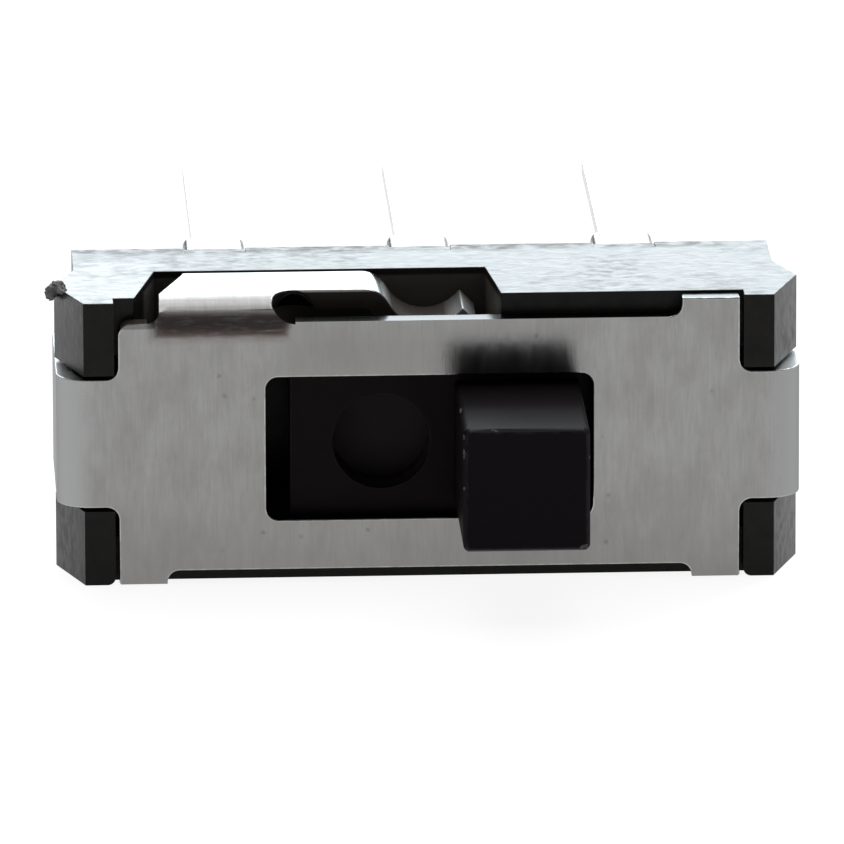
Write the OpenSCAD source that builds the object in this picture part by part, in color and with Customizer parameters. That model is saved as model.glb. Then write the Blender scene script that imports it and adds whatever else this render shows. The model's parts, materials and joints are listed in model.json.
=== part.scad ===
// Miniature slide switch, three terminals in a row, one pole and two throws.
// Millimetres. +X is the way the knob slides, +Y is the way the terminals point, +Z is up.
// The switch lies on its long side. The origin is the middle of the housing's rear face.
// Depths are measured from the front of the cover towards the rear face.

/* [Body] */
// Width over the ears and the end tabs
body_w = 9.0; // [8.6:0.1:11]
// Height of the housing as it lies
body_h = 3.52; // [3.4:0.02:4.2]
// Depth from the front of the cover to the rear face
body_d = 2.65; // [2.5:0.05:3.5]
// Thickness of the side wall that the switch lies on
side_wall = 0.55; // [0.4:0.05:0.65]
// Thickness of the end walls beside the cavity
end_wall = 0.38; // [0.25:0.01:0.6]
// Depth of the cavity behind the cover
cavity_d = 1.65; // [1.6:0.05:1.75]

/* [Ears] */
// Width of the corner posts over the ears
post_w = 0.7; // [0.6:0.01:0.9]
// How far the ears' front edges stand in from the full width
ear_inset = 0.33; // [0.26:0.01:0.5]
// Depth at which the ears are widest
ear_peak = 0.95; // [0.5:0.05:1.2]
// Depth at which the ears have run back into the end walls
ear_end = 1.65; // [1.4:0.05:2.2]
// Rounding of the lower ears' inner corners
ear_round = 0.1; // [0.05:0.01:0.2]

/* [Cover] */
// Thickness of the steel sheet
sheet_t = 0.25; // [0.2:0.01:0.28]
// How far the plate's top edge lies below the housing's top
plate_drop = 0.26; // [0.2:0.01:0.3]
// How far the plate's bottom edge lies above the housing's bottom
plate_rise = 0.17; // [0.1:0.01:0.3]
// Gap between the knob and the window's end at each end of its travel
window_gap_x = 0.145; // [0.06:0.005:0.25]
// Gap above and below the knob in the window
window_gap_z = 0.13; // [0.05:0.01:0.25]
// Rounding of the window's corners
window_r = 0.15; // [0.05:0.01:0.3]
// Height of the end tabs
tab_h = 1.6; // [1.2:0.02:2]
// Height of the end tabs' middle above the housing's bottom
tab_z = 1.77; // [1.6:0.01:1.85]
// Length of the hooks that grip the housing's rear face
hook_len = 0.75; // [0.5:0.05:0.8]
// Outside radius of the end tabs' bends
bend_r = 0.4; // [0.35:0.01:0.45]
// Rounding of the plate's top left corner
shoulder_r = 0.15; // [0.1:0.01:0.25]
// Width of the bottom lugs
lug_w = 0.58; // [0.4:0.01:0.8]
// How far the bottom lugs stop short of the housing's bottom
lug_rise = 0.01; // [0:0.01:0.05]
// Width of the lug at the top right
top_lug_w = 0.7; // [0.5:0.01:0.9]
// How far the top lug stops short of the housing's top
top_lug_drop = 0.03; // [0.01:0.01:0.1]
// Rounding where the lugs and tabs leave the plate
fillet_r = 0.15; // [0.05:0.01:0.16]
// Rounding at the foot of the top lug
top_lug_r = 0.16; // [0.04:0.01:0.18]
// Play between the cover's edges and the ears
nest_gap = 0.045; // [0.02:0.005:0.08]

/* [Detent arm] */
// Distance of the fold from the plate's left edge
fold_in = 0.505; // [0.4:0.005:0.6]
// Width of the fold
fold_w = 1.36; // [1.2:0.02:1.6]
// Outside radius of the fold
fold_r = 0.45; // [0.3:0.01:0.5]
// Depth of the arm's front edge
arm_front = 0.53; // [0.5:0.01:0.65]
// Width of the arm
arm_w = 0.9; // [0.7:0.01:0.95]
// Radius over which the arm turns down
crown_r = 0.35; // [0.3:0.01:0.45]
// Radius of the dip that rides on the slider
dip_r = 0.53; // [0.4:0.01:0.6]
// Slope of the arm's raised tip, in degrees
tip_slope = 45; // [20:1:60]
// Straight length at the arm's tip
tip_len = 0.08; // [0.05:0.01:0.2]
// How far the fold's left side leans in towards the rear
fold_lean = 0.31; // [0.1:0.01:0.4]
// Size of the cut across the fold's rear corner
fold_corner = 0.06; // [0.02:0.01:0.1]
// Gap between the fold and the left side of its notch
fold_gap = 0.3; // [0.2:0.01:0.4]
// Gap between the arm and the back of its notch
notch_gap = 0.09; // [0.05:0.01:0.2]
// Gap between the arm's tip and the right end of its notch
notch_end_gap = 0.31; // [0.2:0.01:0.5]
// How far the notch's left side leans in towards the rear
notch_lean = 0.28; // [0.1:0.01:0.35]
// How far the notch's right side opens out towards the front
notch_flare = 0.14; // [0:0.01:0.25]

/* [Slider] */
// Travel from one detent to the other
travel = 2.14; // [1.9:0.02:2.2]
// Height of the slider inside the housing
slider_h = 2.18; // [2:0.02:2.24]
// Depth of the slider inside the housing
slider_d = 1.16; // [1.1:0.02:1.2]
// Thickness of the slider's face plate
face_t = 0.5; // [0.4:0.02:0.55]
// Width of the knob
knob_w = 1.52; // [1.2:0.04:1.6]
// Height of the knob
knob_h = 1.52; // [1.2:0.04:1.6]
// How far the knob stands out of the cover
knob_out = 2.1; // [1:0.05:3]
// Rounding of the knob's edges
knob_r = 0.08; // [0.04:0.01:0.15]
// Width of the two detent valleys
valley_w = 0.7; // [0.5:0.02:0.9]
// Depth of the detent valleys
valley_depth = 0.22; // [0.1:0.01:0.3]
// Diameter of the round recesses in the face plate
recess_dia = 1.17; // [0.8:0.01:1.3]
// Depth of the round recesses
recess_depth = 0.55; // [0.1:0.01:0.6]
// Distance of the round recesses from the knob
recess_gap = 0.295; // [0.1:0.005:0.4]
// How far the block behind the face plate reaches past the recesses
recess_wall = 0.075; // [0.05:0.005:0.3]
// Running gap round the slider
slide_gap = 0.04; // [0.03:0.005:0.06]
// Gap left at each end stop
stop_gap = 0.05; // [0.03:0.01:0.08]

/* [Moving contact] */
// Thickness of the contact strip
contact_t = 0.12; // [0.1:0.01:0.15]
// Height of the contact strip
contact_h = 1.2; // [1:0.05:1.4]
// Depth of the pocket that holds it
pocket_d = 0.42; // [0.3:0.01:0.45]
// How far the strip runs past its two contact points
contact_over = 0.28; // [0.2:0.01:0.35]
// Gap between the contact points and the terminal pads
contact_gap = 0.02; // [0.01:0.005:0.04]

/* [Terminals] */
// Pitch of the terminals
pitch = 2.5; // [2.4:0.02:2.54]
// Width of a terminal leg
leg_w = 0.5; // [0.4:0.01:0.6]
// Thickness of the terminal strip
leg_t = 0.2; // [0.15:0.01:0.25]
// Length of the legs behind the rear face
leg_len = 5.2; // [3:0.1:8]
// Depth of the legs below the housing's top
leg_drop = 0.15; // [0.1:0.01:0.2]
// Length of the tapered tip
tip_taper = 0.4; // [0.2:0.05:0.8]
// Width at the end of the tapered tip
tip_w = 0.28; // [0.2:0.01:0.4]
// Width of a contact pad
pad_w = 1.1; // [0.9:0.05:1.3]
// Height of a contact pad
pad_h = 1.5; // [1.3:0.05:1.7]
// Outside radius of the terminal's bend
leg_bend_r = 0.3; // [0.26:0.01:0.35]
// Width of the moulded boss round each leg
boss_w = 0.75; // [0.7:0.01:1]
// Length of the boss behind the rear face
boss_len = 0.6; // [0.2:0.05:1]
// Wall of the boss below the leg
boss_wall = 0.25; // [0.15:0.01:0.4]
// Rounding of the boss's long edges
boss_r = 0.12; // [0.05:0.01:0.2]
// How far the boss's top lies below the housing's top
boss_drop = 0.02; // [0:0.01:0.05]
// Groove across the housing's top in front of each boss
groove_w = 0.25; // [0.1:0.01:0.3]
// Depth of that groove
groove_d = 0.02; // [0.02:0.01:0.12]

/* [Hidden] */
$fn = 48;
eps = 0.01;
lap = 0.05;                                      // how far parts of one sheet run into each other
past = 1;                                        // how far a cut runs past the surface it opens
through = 3;                                     // length of a cut that passes right through the fold

front_y = -body_d;
base_z = -body_h / 2;
top_z = body_h / 2;
core_half = body_w / 2 - sheet_t;                // end walls, which the end tabs lie against
inner_bend_r = bend_r - sheet_t;
post_x = body_w / 2 - post_w;                    // inner faces of the four corner posts
plate_half = post_x - nest_gap;
tab_low = base_z + tab_z - tab_h / 2;
tab_high = tab_low + tab_h;
cavity_half = core_half - end_wall;
mouth_half = min(post_x, cavity_half);           // the posts stand whole beside the mouth of the cavity
slider_len = 2 * (cavity_half - stop_gap) - travel;
cavity_h = slider_h + 2 * slide_gap;
cavity_low = base_z + side_wall;
cavity_top = cavity_low + cavity_h;
slide_z = cavity_low + cavity_h / 2;             // height of the slider's and the window's middle
housing_y = front_y + sheet_t;                   // housing's front face, which the plate lies on
floor_y = housing_y + cavity_d;                  // bottom of the cavity, where the pads lie
rest_x = travel / 2;
window_w = knob_w + travel + 2 * window_gap_x;
window_h = knob_h + 2 * window_gap_z;

fold_left = plate_half - fold_in;
fold_right = -fold_left + fold_w;
plate_top = top_z - plate_drop;
slot_w = (arm_front + top_z - plate_top) / sqrt(2);  // slot beside the fold, seen square to the fold
bend_start = top_z - fold_r;                     // height at which the plate turns into the fold
// how far the bend has run back where it passes the plate's top edge
edge_back = fold_r - sqrt(pow(fold_r, 2) - pow(max(0, plate_top - bend_start), 2));
strip_left = -fold_left - fillet_r;
strip_right = fold_right + slot_w / 2;
arm_back = arm_front + arm_w;
notch_back = arm_back + notch_gap;
slider_top = slide_z + slider_h / 2;
arm_drop = top_z - sheet_t - slide_gap - slider_top; // how far the arm dips to ride over the slider
steepest = 70;
dip_slope = min(steepest, acos(1 - arm_drop / (crown_r + dip_r)));
ramp_len = (arm_drop - (crown_r + dip_r) * (1 - cos(dip_slope))) / sin(dip_slope);
crown_x = -(crown_r + dip_r) * sin(dip_slope) - ramp_len * cos(dip_slope);
tip_x = dip_r * sin(tip_slope) + tip_len * cos(tip_slope);

slider_y = housing_y + slide_gap;                // front of the slider's face plate
recess_x = knob_w / 2 + recess_gap + recess_dia / 2;
block_len = 2 * (recess_x + recess_dia / 2 + recess_wall);
pocket_y = slider_y + slider_d - pocket_d;       // bottom of the pocket for the moving contact
contact_x = pitch / 2;                           // contact points each side of the slider's middle
contact_rise = floor_y - contact_gap - contact_t - pocket_y;
contact_end = contact_x + contact_over;

leg_top = top_z - leg_drop;
leg_low = leg_top - leg_t;
pad_low = slide_z - pad_h / 2;
boss_low = leg_low - boss_wall;
boss_top = top_z - boss_drop;

// Box from its lowest to its highest corner
module box(low, high) {
    translate(low)
        cube(high - low);
}

// Outline with rounded corners about the origin, as exact arcs
module rounded_rect(w, h, r) {
    square([w - 2 * r, h], center = true);
    square([w, h - 2 * r], center = true);
    for (sx = [-1, 1], sy = [-1, 1])
        translate([sx * (w / 2 - r), sy * (h / 2 - r)])
            circle(r);
}

// Filling of an inside corner at the origin, towards +x and +y, or the waste of rounding an outside one
module inner_fillet(r) {
    difference() {
        translate([-eps, -eps])
            square(r + eps);
        translate([r, r])
            circle(r);
    }
}

// Rectangle from the origin whose corner at the origin is rounded
module rounded_corner(w, h, r) {
    intersection() {
        square([w, h]);
        union() {
            translate([r, 0])
                square([w, h]);
            translate([0, r])
                square([w, h]);
            translate([r, r])
                circle(r);
        }
    }
}

// Edge of a sheet of thickness t, bent round the corner at the origin, with its sides along +x and +y
module bent_edge(w, h, r, t) {
    difference() {
        rounded_corner(w, h, r);
        translate([t, t])
            rounded_corner(w, h, r - t);
    }
}

// Strip along +x, bent over the edge at the origin, with one side hanging down and one going back
module bent_strip(width, down, back, r, t) {
    rotate([0, 90, 0])
        linear_extrude(width)
            bent_edge(down, back, r, t);
}

// Stands a drawing in x and z on end, from depth "from" to depth "to"
module across(from, to) {
    translate([0, front_y + to, 0])
        rotate([90, 0, 0])
            linear_extrude(to - from)
                children();
}

// ---- Cover -------------------------------------------------------------------------------

// Front plate with its lugs and window, drawn in x and z
module plate_outline() {
    lug_in = plate_half - lug_w;
    top_lug_in = plate_half - top_lug_w;
    difference() {
        union() {
            translate([-plate_half, base_z + plate_rise])
                square([2 * plate_half, plate_top - base_z - plate_rise]);
            for (side = [-1, 1])
                scale([side, 1]) {
                    translate([lug_in, base_z + lug_rise])
                        square([lug_w, plate_rise]);
                    translate([lug_in, base_z + plate_rise])
                        rotate(180)
                            inner_fillet(min(fillet_r, plate_rise - lug_rise));
                    translate([0, tab_low])
                        square([body_w / 2 - bend_r, tab_h]);
                    translate([plate_half, tab_high])
                        inner_fillet(fillet_r);
                    translate([plate_half, tab_low])
                        rotate(-90)
                            inner_fillet(fillet_r);
                }
            translate([top_lug_in, plate_top - eps])
                square([top_lug_w, plate_drop - top_lug_drop + eps]);
            translate([top_lug_in, plate_top])
                rotate(90)
                    inner_fillet(top_lug_r);
        }
        translate([0, slide_z])
            rounded_rect(window_w, window_h, window_r);
        translate([-plate_half, plate_top])
            rotate(-90)
                inner_fillet(shoulder_r);
        // the fold starts below the plate's top edge
        translate([strip_left, bend_start])
            square([strip_right - strip_left, top_z]);
    }
}

// End tab, its two bends and its hook, seen from above
module tab_plan() {
    side_len = body_d / 2 + lap;
    translate([body_w / 2, front_y])
        mirror([1, 0])
            bent_edge(bend_r + lap, side_len, bend_r, sheet_t);
    translate([body_w / 2, 0])
        rotate(180)
            bent_edge(hook_len + sheet_t, side_len, bend_r, sheet_t);
}

// Top surface of the arm from the crown to the tip, as [x, z, heading]
steps = 10;
function turn(i) = i / steps;
function arm_path() = concat(
    [[crown_x - lap, top_z, 0]],
    [for (i = [0:steps]) let (a = turn(i) * dip_slope)
        [crown_x + crown_r * sin(a), top_z - crown_r * (1 - cos(a)), -a]],
    [for (i = [0:steps]) let (a = -dip_slope + turn(i) * (dip_slope + tip_slope))
        [dip_r * sin(a), top_z - arm_drop + dip_r * (1 - cos(a)), a]],
    [[tip_x, top_z - arm_drop + dip_r * (1 - cos(tip_slope)) + tip_len * sin(tip_slope), tip_slope]]);

// Side view of the sprung end of the arm
module arm_profile() {
    path = arm_path();
    under = [for (p = path) [p[0] + sheet_t * sin(p[2]), p[1] - sheet_t * cos(p[2])]];
    polygon(concat([for (p = path) [p[0], p[1]]], [for (i = [len(under) - 1:-1:0]) under[i]]));
}

// Fold and flat part of the detent arm, seen from above
module arm_plan() {
    polygon([
        [strip_left, front_y - past],
        [strip_left, front_y + fold_r],
        [-fold_left, front_y + fold_r],
        [-fold_left + fold_lean, front_y + arm_back - fold_corner],
        [-fold_left + fold_lean + fold_corner, front_y + arm_back + past],
        [crown_x, front_y + arm_back + past],
        [crown_x, front_y + arm_front],
        [strip_right, front_y + arm_front],
        [strip_right, front_y - past]]);
}

// Strip that runs up the plate, over the fold and along the top, with rounded slot ends
module fold() {
    mid_slot = [strip_right, front_y + arm_front / 2, (plate_top + top_z) / 2];
    difference() {
        intersection() {
            translate([strip_left, front_y, top_z])
                bent_strip(crown_x - strip_left + past, fold_r + lap, arm_back, fold_r, sheet_t);
            translate([0, 0, base_z])
                linear_extrude(body_h + past)
                    arm_plan();
        }
        // slot between the arm and the plate
        translate(mid_slot)
            rotate([45, 0, 0])
                cylinder(r = slot_w / 2, h = through, center = true);
        // relief to the left of the fold
        translate([strip_left, front_y, plate_top + edge_back + fillet_r * sqrt(2)])
            rotate([45, 0, 0]) {
                cylinder(r = fillet_r, h = through, center = true);
                translate([-past, 0, -through / 2])
                    cube([past + fillet_r, through, through]);
            }
    }
}

module cover() {
    color("silver") {
        across(0, sheet_t)
            plate_outline();
        for (side = [-1, 1])
            translate([0, 0, tab_low])
                linear_extrude(tab_h)
                    scale([side, 1])
                        tab_plan();
        fold();
        across(arm_front, arm_back)
            arm_profile();
    }
}

// ---- Housing -----------------------------------------------------------------------------

// Half outline of the ears, seen from above
module ear_plan() {
    ear_x = body_w / 2 - ear_inset;
    polygon([
        [post_x, front_y],
        [ear_x, front_y],
        [body_w / 2, front_y + ear_peak],
        [core_half, front_y + ear_end],
        [post_x, front_y + ear_end]]);
}

// Front view of a pair of corner posts' inner ends, so that the lower ones are rounded
module post_rounding() {
    translate([post_x, base_z])
        inner_fillet(ear_round);
}

// What the tab and its hook take out of the housing's end, seen from above
module tab_recess_plan() {
    hook_in = core_half - hook_len - nest_gap;
    difference() {
        translate([hook_in, front_y - past])
            square([body_w, body_d + 2 * past]);
        translate([0, housing_y])
            square([core_half - inner_bend_r, body_d - 2 * sheet_t]);
        translate([0, housing_y + inner_bend_r])
            square([core_half, body_d - 2 * sheet_t - 2 * inner_bend_r]);
        for (y = [housing_y + inner_bend_r, -sheet_t - inner_bend_r])
            translate([core_half - inner_bend_r, y])
                circle(inner_bend_r);
    }
}

// Notch for the detent arm, seen from above
module notch_plan() {
    left = -fold_left - fold_gap;
    right = tip_x + notch_end_gap;
    polygon([
        [left, housing_y - past],
        [left, housing_y],
        [left + notch_lean, front_y + notch_back],
        [right, front_y + notch_back],
        [right + notch_flare, housing_y],
        [right + notch_flare, housing_y - past]]);
}

module leg_boss() {
    translate([0, boss_len, (boss_low + boss_top) / 2])
        rotate([90, 0, 0])
            linear_extrude(boss_len + eps)
                rounded_rect(boss_w, boss_top - boss_low, boss_r);
}

module housing() {
    color("#232224")
        difference() {
            union() {
                box([-core_half, housing_y, base_z], [core_half, 0, top_z]);
                for (side = [-1, 1])
                    scale([side, 1, 1])
                        translate([0, 0, base_z])
                            linear_extrude(body_h)
                                ear_plan();
                for (x = [-pitch, 0, pitch])
                    translate([x, 0, 0])
                        leg_boss();
            }
            for (side = [-1, 1])
                scale([side, 1, 1]) {
                    translate([0, 0, tab_low - nest_gap])
                        linear_extrude(tab_h + 2 * nest_gap)
                            tab_recess_plan();
                    across(-past, sheet_t)
                        post_rounding();
                }
            // cavity for the slider, and its mouth between the posts
            box([-cavity_half, housing_y, cavity_low], [cavity_half, floor_y, cavity_top]);
            box([-mouth_half, housing_y - past, cavity_low], [mouth_half, floor_y, cavity_top]);
            translate([0, 0, cavity_top - eps])
                linear_extrude(past + body_h)
                    notch_plan();
            for (x = [-pitch, 0, pitch])
                translate([x, 0, 0]) {
                    terminal();
                    box([-boss_w / 2, -groove_w, top_z - groove_d], [boss_w / 2, 0, top_z + past]);
                }
        }
}

// ---- Slider ------------------------------------------------------------------------------

module knob() {
    // the front edges are turned over by the same rounding as the long edges
    length = knob_out + sheet_t + slide_gap + face_t / 2;
    translate([0, slider_y + face_t / 2, 0])
        rotate([90, 0, 0]) {
            linear_extrude(length - knob_r)
                rounded_rect(knob_w, knob_h, knob_r);
            hull() {
                translate([0, 0, length - knob_r])
                    linear_extrude(eps)
                        rounded_rect(knob_w, knob_h, knob_r);
                translate([0, 0, length - eps])
                    linear_extrude(eps)
                        rounded_rect(knob_w - knob_r, knob_h - knob_r, knob_r / 2);
            }
        }
}

// One detent valley across the slider's top
module valley() {
    half = valley_w / 2;
    across(arm_front - slide_gap, body_d)
        polygon([[-half, past], [-half, 0], [0, -valley_depth], [half, 0], [half, past]]);
}

module slider() {
    half_h = slider_h / 2;
    pocket_half = contact_end + slide_gap;
    color("#1d1b1d")
        translate([rest_x, 0, slide_z])
            difference() {
                union() {
                    box([-slider_len / 2, slider_y, -half_h], [slider_len / 2, slider_y + face_t, half_h]);
                    box([-block_len / 2, slider_y, -half_h], [block_len / 2, slider_y + slider_d, half_h]);
                    knob();
                }
                for (side = [-1, 1])
                    translate([side * rest_x, 0, half_h])
                        valley();
                for (side = [-1, 1])
                    translate([side * recess_x, slider_y, 0])
                        rotate([90, 0, 0])
                            cylinder(d = recess_dia, h = 2 * recess_depth, center = true);
                box([-pocket_half, pocket_y, -contact_h / 2 - slide_gap],
                    [pocket_half, body_d, contact_h / 2 + slide_gap]);
            }
}

// ---- Moving contact ----------------------------------------------------------------------

// Front surface of the bowed strip at x, and its slope
function bow(x) = pocket_y + contact_rise * (1 - cos(180 * x / contact_x)) / 2;
function bow_slope(x) = atan(contact_rise * 90 * PI / 180 / contact_x * sin(180 * x / contact_x));

module moving_contact() {
    bow_steps = 36;
    xs = [for (i = [0:bow_steps]) contact_end * (2 * i / bow_steps - 1)];
    front = [for (x = xs) [x, bow(x)]];
    back = [for (i = [len(xs) - 1:-1:0]) let (a = bow_slope(xs[i]))
        [xs[i] - contact_t * sin(a), bow(xs[i]) + contact_t * cos(a)]];
    color("#b8863b")
        translate([rest_x, 0, slide_z - contact_h / 2])
            linear_extrude(contact_h)
                polygon(concat(front, back));
}

// ---- Terminals ---------------------------------------------------------------------------

// A pad on the cavity floor, a neck, a bend and a straight leg with a tapered tip
module terminal() {
    half = leg_w / 2;
    box([-pad_w / 2, floor_y, pad_low], [pad_w / 2, floor_y + leg_t, pad_low + pad_h]);
    intersection() {
        translate([-half - past, floor_y, leg_top])
            bent_strip(leg_w + 2 * past, leg_top - pad_low, leg_len + body_d, leg_bend_r, leg_t);
        translate([0, 0, base_z])
            linear_extrude(body_h)
                polygon([
                    [-half, front_y],
                    [-half, leg_len - tip_taper],
                    [-tip_w / 2, leg_len],
                    [tip_w / 2, leg_len],
                    [half, leg_len - tip_taper],
                    [half, front_y]]);
    }
}

module terminal_left() {
    color("gainsboro")
        translate([-pitch, 0, 0])
            terminal();
}

module terminal_common() {
    color("gainsboro")
        terminal();
}

module terminal_right() {
    color("gainsboro")
        translate([pitch, 0, 0])
            terminal();
}

housing();
cover();
slider();
moving_contact();
terminal_left();
terminal_common();
terminal_right();
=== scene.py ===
# %% [markdown]
# # A miniature slide switch, dressed for the camera
#
# The switch is nine millimetres wide. A black moulded housing holds three tinned legs, a steel cover
# is folded over its front, and a black slider runs behind a window in the cover with its square knob
# standing out. The solids come from a CAD model in metres, already in place. This lesson eases their
# edges, adds a torn flake and a few chips, gives each piece its finish, and lights the scene. No size
# is changed.

# %% Load the frame
import bpy
import bmesh
import json
from math import asin, cos, pi, radians, sin
from mathutils import Matrix, Vector, noise

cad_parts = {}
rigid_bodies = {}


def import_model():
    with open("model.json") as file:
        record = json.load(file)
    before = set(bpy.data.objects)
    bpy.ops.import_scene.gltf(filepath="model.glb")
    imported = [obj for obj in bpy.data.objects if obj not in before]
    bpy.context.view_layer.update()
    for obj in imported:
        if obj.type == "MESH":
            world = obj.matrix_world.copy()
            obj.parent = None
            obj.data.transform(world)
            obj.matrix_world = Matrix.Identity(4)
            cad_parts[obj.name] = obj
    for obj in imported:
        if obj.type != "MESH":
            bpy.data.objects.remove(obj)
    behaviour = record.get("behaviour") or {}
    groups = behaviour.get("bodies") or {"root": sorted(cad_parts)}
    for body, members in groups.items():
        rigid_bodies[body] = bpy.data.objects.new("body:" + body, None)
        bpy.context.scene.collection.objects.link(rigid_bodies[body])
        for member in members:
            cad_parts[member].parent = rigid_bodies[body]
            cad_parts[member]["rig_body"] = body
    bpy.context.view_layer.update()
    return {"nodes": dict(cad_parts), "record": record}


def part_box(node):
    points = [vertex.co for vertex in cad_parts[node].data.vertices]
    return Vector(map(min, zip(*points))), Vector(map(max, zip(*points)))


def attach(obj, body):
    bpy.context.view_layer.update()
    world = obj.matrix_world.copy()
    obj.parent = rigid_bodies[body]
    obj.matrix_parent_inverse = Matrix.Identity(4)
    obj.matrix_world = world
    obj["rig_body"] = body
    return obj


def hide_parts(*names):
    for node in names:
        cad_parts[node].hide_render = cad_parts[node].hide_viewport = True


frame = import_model()
MM = 0.001
print("nodes:", ", ".join(sorted(frame["nodes"])))

# %% [markdown]
# ## Where things are
#
# The switch lies on its long side: X runs along the knob's travel, the knob stands out towards -Y, the
# legs point to +Y, and Z is up. The outer faces of the solids place everything large, so they are read
# from the frame. Smaller places, such as the fold of the cover, are given in millimetres from the
# model's origin, which is the middle of the housing's rear face.

# %% Faces that place the rest
housing_low, housing_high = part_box("housing")
cover_low, cover_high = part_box("cover")
slider_low, slider_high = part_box("slider")
FLOOR_Z = housing_low.z
TOP_Z = housing_high.z
FRONT_Y = cover_low.y
print("cover front at y = %.2f mm, floor at z = %.2f mm" % (FRONT_Y / MM, FLOOR_Z / MM))
print("sheet from x = %.2f to %.2f mm" % (cover_low.x / MM, cover_high.x / MM))
print("knob %.2f mm out of the sheet, slider %.2f mm deep"
      % ((FRONT_Y - slider_low.y) / MM, (slider_high.y - slider_low.y) / MM))

# %% [markdown]
# ## Camera
#
# So small a thing is looked at through a long lens, which keeps its edges almost parallel. The camera
# looks a little down on the front and a touch from the left. It could be placed by its own three
# coordinates and three angles, but an aim point, two angles and a distance say the same in a way that
# is easy to read and to change. The last turn is the small tilt of a camera that was set by hand.

# %% Camera
AIM = Vector((-0.09 * MM, FRONT_Y, FLOOR_Z + 1.99 * MM))
SWING, RISE, TILT = radians(2.54), radians(15.0), radians(-0.18)
DISTANCE = 185.3 * MM
LENS, SENSOR = 654.8, 36.0
NEAREST, FARTHEST = 10 * MM, 3.0
back = Vector((-sin(SWING) * cos(RISE), -cos(SWING) * cos(RISE), sin(RISE)))
bpy.ops.object.camera_add(location=AIM + back * DISTANCE)
camera = bpy.context.object
camera.name = "camera"
turn = back.to_track_quat("Z", "Y").to_matrix() @ Matrix.Rotation(TILT, 3, "Z")
camera.rotation_euler = turn.to_euler()
camera.data.lens = LENS
camera.data.sensor_width = SENSOR
camera.data.clip_start = NEAREST
camera.data.clip_end = FARTHEST
bpy.context.scene.camera = camera
bpy.context.scene.view_settings.view_transform = "Standard"
print("camera %.0f mm away, lens %.0f mm" % (DISTANCE / MM, camera.data.lens))

# %% [markdown]
# ## Building with shader nodes
#
# World, floor and finishes are all trees of shader nodes. They could be wired socket by socket, which
# takes three lines for each node. `node` adds a node, sets its free inputs and links the others in one
# call, and the small functions after it name the steps that come back in every tree.

# %% Node helpers
def node(tree, kind, inputs=None, **settings):
    """Add a shader node; an input is a value, or another node's output socket."""
    made = tree.nodes.new("ShaderNode" + kind)
    for name, value in settings.items():
        setattr(made, name, value)
    for name, value in (inputs or {}).items():
        if isinstance(value, bpy.types.NodeSocket):
            tree.links.new(value, made.inputs[name])
        else:
            made.inputs[name].default_value = value
    return made


def calculate(tree, operation, *values):
    """One step of arithmetic on plain values or sockets."""
    return node(tree, "Math", dict(enumerate(values)), operation=operation).outputs[0]


def multiply(tree, a, b):
    """The product of two values, used where one mask weakens another."""
    return calculate(tree, "MULTIPLY", a, b)


def mix(tree, share, a, b):
    """The value a where the share is 0, b where it is 1, and a mixture between."""
    return node(tree, "Mix", {0: share, 2: a, 3: b}).outputs[0]


def grey(value, warmth=0.0):
    """An almost neutral colour; warmth above 0 is browner and below 0 bluer."""
    return (value * (1 + warmth), value, value * (1 - warmth), 1)


print("middle grey is", grey(0.5))

# %% [markdown]
# ## The white surroundings
#
# The switch is shown on plain white. A white that comes from brighter lamps would wash out the object,
# so the whiteness is painted in: the world and the floor answer rays from the camera and through glass
# with plain white, and other rays with ordinary soft light. `by_ray` makes that choice.

# %% World
MIRRORED, AMBIENT = 0.15, 0.25


def by_ray(tree, seen, mirrored, soft):
    """One value for rays from the camera or through glass, one for mirrored rays, one for soft light."""
    path = node(tree, "LightPath").outputs
    straight = calculate(tree, "MAXIMUM", path["Is Camera Ray"], path["Is Transmission Ray"])
    other = mix(tree, path["Is Glossy Ray"], soft, mirrored)
    return mix(tree, straight, other, seen)


world = bpy.data.worlds.new("white_surroundings")
world.use_nodes = True
tree = world.node_tree
tree.nodes.clear()
sky = node(tree, "Background", {"Color": grey(1), "Strength": by_ray(tree, 1.0, MIRRORED, AMBIENT)})
node(tree, "OutputWorld", {"Surface": sky.outputs[0]})
bpy.context.scene.world = world
print("world: white to the camera, %.2f in mirrors, %.2f to soft light" % (MIRRORED, AMBIENT))

# %% [markdown]
# ## Floor
#
# The switch lies on white paper. A floor that only glows would swallow the shadow that tells where the
# switch stands, and one that is only painted would be grey at its far end. So what the camera sees is
# a glow with a thin coat of real paint over it, on which the shadow still falls, and soft light meets
# ordinary white paper.

# %% Floor
FLOOR_RADIUS = 300 * MM
PAPER_WHITE, THIN_COAT, GLOW = 0.8, 0.16, 0.9
bpy.ops.mesh.primitive_circle_add(vertices=64, radius=FLOOR_RADIUS, fill_type="NGON",
                                  location=(0, 0, FLOOR_Z))
floor = bpy.context.object
floor.name = "floor"
bpy.ops.object.transform_apply(location=True, rotation=False, scale=False)
paper = bpy.data.materials.new("white_paper")
paper.use_nodes = True
tree = paper.node_tree
tree.nodes.clear()
soft = node(tree, "BsdfDiffuse", {"Color": grey(PAPER_WHITE)})
shaded = node(tree, "BsdfDiffuse", {"Color": grey(THIN_COAT)})
glow = node(tree, "Emission", {"Strength": GLOW})
white = node(tree, "AddShader", {0: shaded.outputs[0], 1: glow.outputs[0]})
mixed = node(tree, "MixShader", {0: by_ray(tree, 1, 1, 0), 1: soft.outputs[0], 2: white.outputs[0]})
node(tree, "OutputMaterial", {"Surface": mixed.outputs[0]})
floor.data.materials.append(paper)
print("floor at z = %.2f mm" % (floor.data.vertices[0].co.z / MM))

# %% [markdown]
# ## Lamps
#
# Soft lamps do the work. A broad one stands low behind the switch: its light skims the top faces and
# turns the matt black plastic pale, as a bright backdrop does. One hangs above and one stands at the
# right. A lamp's power would have to be found again whenever its size changes, so `lamp` is told how
# bright its face is and works out the power from its area.

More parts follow.
